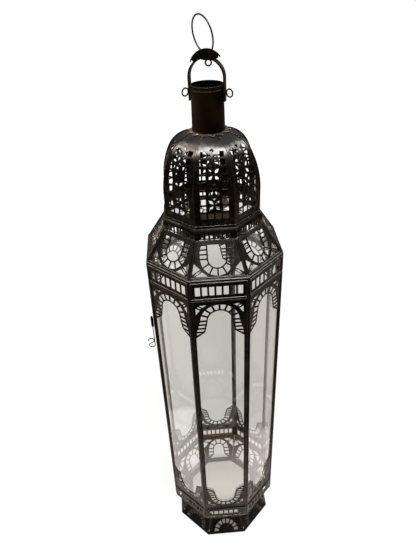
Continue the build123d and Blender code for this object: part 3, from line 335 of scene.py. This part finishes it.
# Door fittings: rolled hinge tubes on a wire rod at one edge of the door, and at the other a turned wire
# latch in two staples. All are of the same dark iron as the pins and the swivel eye.
paint(["hinge_knuckles", "hinge_rod", "latch_staples", "latch_hook"], wire_iron)


# Panes: flat clear window glass held behind the frames by bent tabs, and a thicker clear plate as the floor.
# Shadow rays pass straight through, so that the inside is lit as it is behind real panes.
GLASS_TINT = (0.95, 0.95, 0.94)
GLASS_IOR = 1.5


def either(tree, factor, first, second):
    node = tree.nodes.new("ShaderNodeMixShader")
    tree.links.new(factor, node.inputs["Fac"])
    tree.links.new(first, node.inputs[1])
    tree.links.new(second, node.inputs[2])
    return node.outputs["Shader"]


pane_glass, tree = new_material("pane_glass")
glass = tree.nodes.new("ShaderNodeBsdfPrincipled")
glass.inputs["Base Color"].default_value = (*GLASS_TINT, 1)
glass.inputs["Roughness"].default_value = 0.0
glass.inputs["IOR"].default_value = GLASS_IOR
glass.inputs["Metallic"].default_value = 0.0
glass.inputs["Transmission Weight"].default_value = 1.0
clear = tree.nodes.new("ShaderNodeBsdfTransparent")
clear.inputs["Color"].default_value = (*GLASS_TINT, 1)
path = tree.nodes.new("ShaderNodeLightPath").outputs
show(tree, either(tree, path["Is Shadow Ray"], glass.outputs["BSDF"], clear.outputs["BSDF"]))
paint(numbered("glass_pane", FIXED_SIDES), pane_glass)
paint(["door_pane", "shoulder_panes", "floor_pane"], pane_glass)


# Floor: a pale ground that the camera sees as white, with the lantern's own soft shadow, a painted shade
# under its foot and painted light behind the front of the skirt. Through the glass it is a warm grey,
# lighter on the left. As a reflection it is bright, most of all before the foot, duller on the iron, and
# dark where the viewer stands.
FLOOR_WIDTH = 8.0
FLOOR_DROP = 0.0005
FLOOR_TONES = {
    "left": (0.80, 0.775, 0.72),
    "right": (0.56, 0.555, 0.53),
    "plate": (0.46, 0.425, 0.375),
    "white": (1, 1, 1),
    "shade": (0.045, 0.038, 0.032),
    "lit": (0.27, 0.24, 0.20),
    "sheet": (1.85, 1.80, 1.72),
    "glare": (3.3, 3.2, 3.0),
    "far": (0.55, 0.53, 0.50),
    "front": (0.10, 0.095, 0.09),
    "beyond": (0.20, 0.16, 0.13),
    "dull": (0.54, 0.47, 0.40),
    "near": (1.17, 1.05, 0.95),
    "inner": (0.60, 0.56, 0.51),
}
LEFT_TO_RIGHT = (-0.4, 0.4)
SHADE_RADIUS = 0.1
SHADE_BLUR = 0.002
SHADE_FADE = (SHADE_RADIUS, SHADE_RADIUS + SHADE_BLUR)
PLATE_BLUR = 0.02
PLATE_FADE = (SHADE_RADIUS, SHADE_RADIUS + PLATE_BLUR)
WHITE_FADE = (1.1, 1.6)
SHEET_LEFT = -0.433
SHEET_RIGHT = 0.336
SHEET_BLUR = 0.01
BEYOND_FADE = (1.4, 1.6)
VIEWER_SIDES = (0.45, 0.3)
VIEWER_FRONT = (-0.28, -0.38)
GLARE_FRONT = (-0.33, -0.24)
GLARE_BACK = (-0.18, -0.23)
GLARE_SIDES = (0.18, 0.1)
MIRROR_FADE = (0.165, 0.185)
NEAR_FADE = (0.22, 0.42)
LIT_SIDES = (0.034, 0.028)
BARE_FADE = (0.6, 2.2)
BARE_LIGHT = (0.84, 1.0)
PAPER_LIGHT = (0.0, 0.2)


def unbounced(tree, path):
    bounces = maths(tree, "ADD", path["Glossy Depth"], path["Diffuse Depth"])
    return remap(tree, bounces, 1.0, 0.0)


bpy.ops.object.select_all(action="DESELECT")
bpy.ops.mesh.primitive_plane_add(size=FLOOR_WIDTH, location=(0, 0, 0))
floor = bpy.context.object
floor.name = "floor"
floor.data.transform(Matrix.Translation((0, 0, -FLOOR_DROP)))
floor_white, tree = new_material("floor_white")
tones = {name: tone(tree, colour) for name, colour in FLOOR_TONES.items()}
path = tree.nodes.new("ShaderNodeLightPath").outputs
place = tree.nodes.new("ShaderNodeTexCoord").outputs["Object"]
across = along(tree, place, "X")
away = along(tree, place, "Y")
sideways = maths(tree, "ABSOLUTE", across)
radial = tree.nodes.new("ShaderNodeVectorMath")
radial.operation = "LENGTH"
tree.links.new(place, radial.inputs[0])
distance = radial.outputs["Value"]
beyond = remap(tree, distance, *BEYOND_FADE)
viewer = product(tree, remap(tree, sideways, *VIEWER_SIDES), remap(tree, away, *VIEWER_FRONT))

through = blend(tree, remap(tree, across, *LEFT_TO_RIGHT), tones["left"], tones["right"])
through = blend(tree, remap(tree, distance, *PLATE_FADE), tones["plate"], through)
through = blend(tree, remap(tree, distance, *WHITE_FADE), through, tones["white"])
inner = blend(tree, viewer, tones["inner"], tones["front"])
through = blend(tree, unbounced(tree, path), inner, through)

on_left = remap(tree, across, SHEET_LEFT - SHEET_BLUR, SHEET_LEFT + SHEET_BLUR)
on_right = remap(tree, across, SHEET_RIGHT + SHEET_BLUR, SHEET_RIGHT - SHEET_BLUR)
mirrored = blend(tree, product(tree, on_left, on_right), tones["far"], tones["sheet"])
mirrored = blend(tree, beyond, mirrored, tones["beyond"])
mirrored = blend(tree, viewer, mirrored, tones["front"])
glare = product(tree, remap(tree, away, *GLARE_FRONT), remap(tree, away, *GLARE_BACK))
glare = product(tree, glare, remap(tree, sideways, *GLARE_SIDES))
mirrored = blend(tree, glare, mirrored, tones["glare"])
mirrored = blend(tree, remap(tree, distance, *MIRROR_FADE), tones["dull"], mirrored)

dull = blend(tree, beyond, tones["dull"], tones["beyond"])
dull = blend(tree, viewer, dull, tones["front"])
dull = blend(tree, remap(tree, distance, *NEAR_FADE), tones["near"], dull)

reflected = blend(tree, path["Is Singular Ray"], dull, mirrored)
glow = tree.nodes.new("ShaderNodeEmission")
tree.links.new(blend(tree, path["Is Transmission Ray"], reflected, through), glow.inputs["Color"])

# Painted shade on the floor under the foot, with painted light behind the front of the skirt, seen through
# its holes.
shade = blend(tree, remap(tree, sideways, *LIT_SIDES), tones["shade"], tones["lit"])
bare = tree.nodes.new("ShaderNodeEmission")
tree.links.new(blend(tree, remap(tree, distance, *SHADE_FADE), shade, tones["white"]), bare.inputs["Color"])
tree.links.new(remap(tree, distance, *BARE_FADE, *BARE_LIGHT), bare.inputs["Strength"])
paper = tree.nodes.new("ShaderNodeBsdfDiffuse")
tree.links.new(remap(tree, distance, *SHADE_FADE, *PAPER_LIGHT), paper.inputs["Color"])
shadowed = tree.nodes.new("ShaderNodeAddShader")
tree.links.new(bare.outputs["Emission"], shadowed.inputs[0])
tree.links.new(paper.outputs["BSDF"], shadowed.inputs[1])
show(tree, either(tree, path["Is Camera Ray"], glow.outputs["Emission"], shadowed.outputs["Shader"]))
floor.data.materials.append(floor_white)


# Surroundings: plain white where it is seen straight or straight through the glass. For its light and its
# reflections the lantern has a room that is dark at eye level and brighter overhead. The glass also shows
# the glints of windows high on both side walls.
ROOM_TINT = (1.0, 0.98, 0.95)
LEVEL_TO_OVERHEAD = (0.0, 1.0)
ROOM_LIGHT = (0.06, 0.42)
WALL_SIDES = (0.6, 0.8)
WALL_FOOT = (0.12, 0.2)
WALL_HEAD = (0.5, 0.35)
GLINT_SCALE = 70.0
GLINT_DETAIL = 4.0
GLINT_RANGE = (0.45, 0.65)
GLINT_LIGHT = (0.6, 3.2)
world = bpy.data.worlds.new("room")
scene.world = world
world.use_nodes = True
tree = world.node_tree
tree.nodes.clear()
path = tree.nodes.new("ShaderNodeLightPath").outputs
direction = tree.nodes.new("ShaderNodeTexCoord").outputs["Generated"]
height = along(tree, direction, "Z")
beside = maths(tree, "ABSOLUTE", along(tree, direction, "X"))
wall = product(tree, remap(tree, beside, *WALL_SIDES), remap(tree, height, *WALL_FOOT))
wall = product(tree, wall, remap(tree, height, *WALL_HEAD))
specks = noise(tree, direction, GLINT_SCALE, GLINT_DETAIL)
glints = product(tree, wall, remap(tree, specks, *GLINT_RANGE, *GLINT_LIGHT))
glints = product(tree, glints, path["Is Singular Ray"])
brightness = maths(tree, "ADD", remap(tree, height, *LEVEL_TO_OVERHEAD, *ROOM_LIGHT), glints)
room = tree.nodes.new("ShaderNodeBackground")
room.inputs["Color"].default_value = (*ROOM_TINT, 1)
tree.links.new(brightness, room.inputs["Strength"])
white = tree.nodes.new("ShaderNodeBackground")
white.inputs["Color"].default_value = (1, 1, 1, 1)
behind_glass = product(tree, path["Is Transmission Ray"], unbounced(tree, path))
looked_at = maths(tree, "MAXIMUM", path["Is Camera Ray"], behind_glass)
backdrop = either(tree, looked_at, room.outputs["Background"], white.outputs["Background"])
output = tree.nodes.new("ShaderNodeOutputWorld")
tree.links.new(backdrop, output.inputs["Surface"])


# Lamps: a ceiling light above the camera and a high window on each side, which give the sheen on the dome.
# They are hidden from rays that go through the glass.
def area_light(name, location, aim, size, power, colour):
    light = bpy.data.lights.new(name, "AREA")
    light.shape = "RECTANGLE"
    light.size, light.size_y = size
    light.energy = power
    light.color = colour
    lamp = bpy.data.objects.new(name, light)
    scene.collection.objects.link(lamp)
    lamp.location = location
    lamp.rotation_euler = (Vector(aim) - Vector(location)).to_track_quat("-Z", "Y").to_euler()
    lamp.visible_transmission = False


area_light("ceiling", location=(0.15, -0.8, 2.7), aim=(0, 0, 0.8), size=(0.7, 0.4), power=34.0,
           colour=(0.95, 0.97, 1.0))
area_light("left_window", location=(-1.5, 0.3, 2.15), aim=(0, 0, 0.9), size=(0.8, 0.5), power=14.0,
           colour=(1.0, 0.93, 0.82))
area_light("right_window", location=(1.6, 0.35, 2.15), aim=(0, 0, 0.9), size=(0.8, 0.5), power=16.0,
           colour=(0.92, 0.96, 1.0))


# Camera: held at chest height, looking down at the lantern. Its place, turn and lens were fitted to the
# corners of the eight-sided body in the photograph.
SENSOR_WIDTH = 36.0
LENS = 31.343
CAMERA_PLACE = (-0.04156, -0.70355, 1.13869)
turn = math.radians(-2.48)
pitch = math.radians(34.24)
roll = math.radians(-2.68)
camera_data = bpy.data.cameras.new("camera")
camera_data.sensor_width = SENSOR_WIDTH
camera_data.lens = LENS
camera = bpy.data.objects.new("camera", camera_data)
scene.collection.objects.link(camera)
scene.camera = camera
back = Vector((math.sin(turn) * math.cos(pitch), -math.cos(turn) * math.cos(pitch), math.sin(pitch)))
level = (-back).cross(Vector((0, 0, 1))).normalized()
rise = level.cross(-back)
right = level * math.cos(roll) + rise * math.sin(roll)
up = rise * math.cos(roll) - level * math.sin(roll)
camera.matrix_world = Matrix.Translation(CAMERA_PLACE) @ Matrix((right, up, back)).transposed().to_4x4()

scene.view_settings.view_transform = "Standard"
